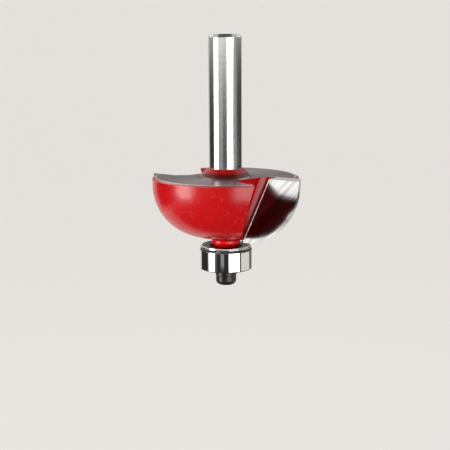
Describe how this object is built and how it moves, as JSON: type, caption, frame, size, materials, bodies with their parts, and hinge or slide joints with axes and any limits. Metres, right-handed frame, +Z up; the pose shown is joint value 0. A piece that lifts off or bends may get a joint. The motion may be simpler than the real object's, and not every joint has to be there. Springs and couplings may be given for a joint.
{
  "type": "router bit",
  "caption": "Cove router bit: steel body with brazed carbide wings, round shank, and a ball bearing below that guides it along a workpiece edge.",
  "frame": {"origin": "on the axis, half way along the ground length of the shank", "axes": "+Z up the shank, away from the cutter head; carbide tip 1 is towards +X and -Y"},
  "size_m": [0.0354, 0.0352, 0.0603],
  "materials": {
    "red_enamel": "satin red enamel on the cutter head, with the shank and the top faces ground bare",
    "carbide": "ground tungsten carbide",
    "bearing_steel": "polished bearing steel",
    "cage_steel": "pressed steel",
    "shield_steel": "pressed steel with an oily sheen",
    "washer_steel": "pressed sheet steel, dull on top, with a bright rolled rim",
    "black_oxide": "black oxide steel"
  },
  "bodies": {
    "cutter": {"cutter_body": "red_enamel", "carbide_tip_1": "carbide", "carbide_tip_2": "carbide", "bearing_inner_race": "bearing_steel", "dust_washer": "washer_steel", "retaining_washer": "black_oxide", "bearing_screw": "black_oxide"},
    "bearing_ring": {"bearing_outer_race": "bearing_steel", "bearing_shield_upper": "shield_steel", "bearing_shield_lower": "shield_steel", "bearing_snap_ring_upper": "shield_steel", "bearing_snap_ring_lower": "shield_steel"},
    "cage": {"bearing_cage_upper": "cage_steel", "bearing_cage_lower": "cage_steel"},
    "ball_1": {"bearing_ball_1": "bearing_steel"},
    "ball_2": {"bearing_ball_2": "bearing_steel"},
    "ball_3": {"bearing_ball_3": "bearing_steel"},
    "ball_4": {"bearing_ball_4": "bearing_steel"},
    "ball_5": {"bearing_ball_5": "bearing_steel"},
    "ball_6": {"bearing_ball_6": "bearing_steel"},
    "ball_7": {"bearing_ball_7": "bearing_steel"}
  },
  "joints": [
    {"name": "outer_race_spin", "type": "hinge", "parent": "cutter", "child": "bearing_ring", "pos_m": [0, 0, -0.03796], "axis": [0, 0, 1], "continuous": true},
    {"name": "cage_orbit", "type": "hinge", "parent": "cutter", "child": "cage", "pos_m": [0, 0, -0.03796], "axis": [0, 0, 1], "continuous": true},
    {"name": "ball_1_roll", "type": "hinge", "parent": "cage", "child": "ball_1", "pos_m": [0, 0.00436, -0.03796], "axis": [0, 0, 1], "continuous": true},
    {"name": "ball_2_roll", "type": "hinge", "parent": "cage", "child": "ball_2", "pos_m": [-0.00341, 0.00272, -0.03796], "axis": [0, 0, 1], "continuous": true},
    {"name": "ball_3_roll", "type": "hinge", "parent": "cage", "child": "ball_3", "pos_m": [-0.00426, -0.00097, -0.03796], "axis": [0, 0, 1], "continuous": true},
    {"name": "ball_4_roll", "type": "hinge", "parent": "cage", "child": "ball_4", "pos_m": [-0.00189, -0.00393, -0.03796], "axis": [0, 0, 1], "continuous": true},
    {"name": "ball_5_roll", "type": "hinge", "parent": "cage", "child": "ball_5", "pos_m": [0.00189, -0.00393, -0.03796], "axis": [0, 0, 1], "continuous": true},
    {"name": "ball_6_roll", "type": "hinge", "parent": "cage", "child": "ball_6", "pos_m": [0.00426, -0.00097, -0.03796], "axis": [0, 0, 1], "continuous": true},
    {"name": "ball_7_roll", "type": "hinge", "parent": "cage", "child": "ball_7", "pos_m": [0.00341, 0.00272, -0.03796], "axis": [0, 0, 1], "continuous": true}
  ],
  "couplings": [
    {"joint": "cage_orbit", "follows": "outer_race_spin", "ratio": 0.63635},
    {"joint": "ball_1_roll", "follows": "outer_race_spin", "ratio": 1.6971},
    {"joint": "ball_2_roll", "follows": "outer_race_spin", "ratio": 1.6971},
    {"joint": "ball_3_roll", "follows": "outer_race_spin", "ratio": 1.6971},
    {"joint": "ball_4_roll", "follows": "outer_race_spin", "ratio": 1.6971},
    {"joint": "ball_5_roll", "follows": "outer_race_spin", "ratio": 1.6971},
    {"joint": "ball_6_roll", "follows": "outer_race_spin", "ratio": 1.6971},
    {"joint": "ball_7_roll", "follows": "outer_race_spin", "ratio": 1.6971}
  ]
}
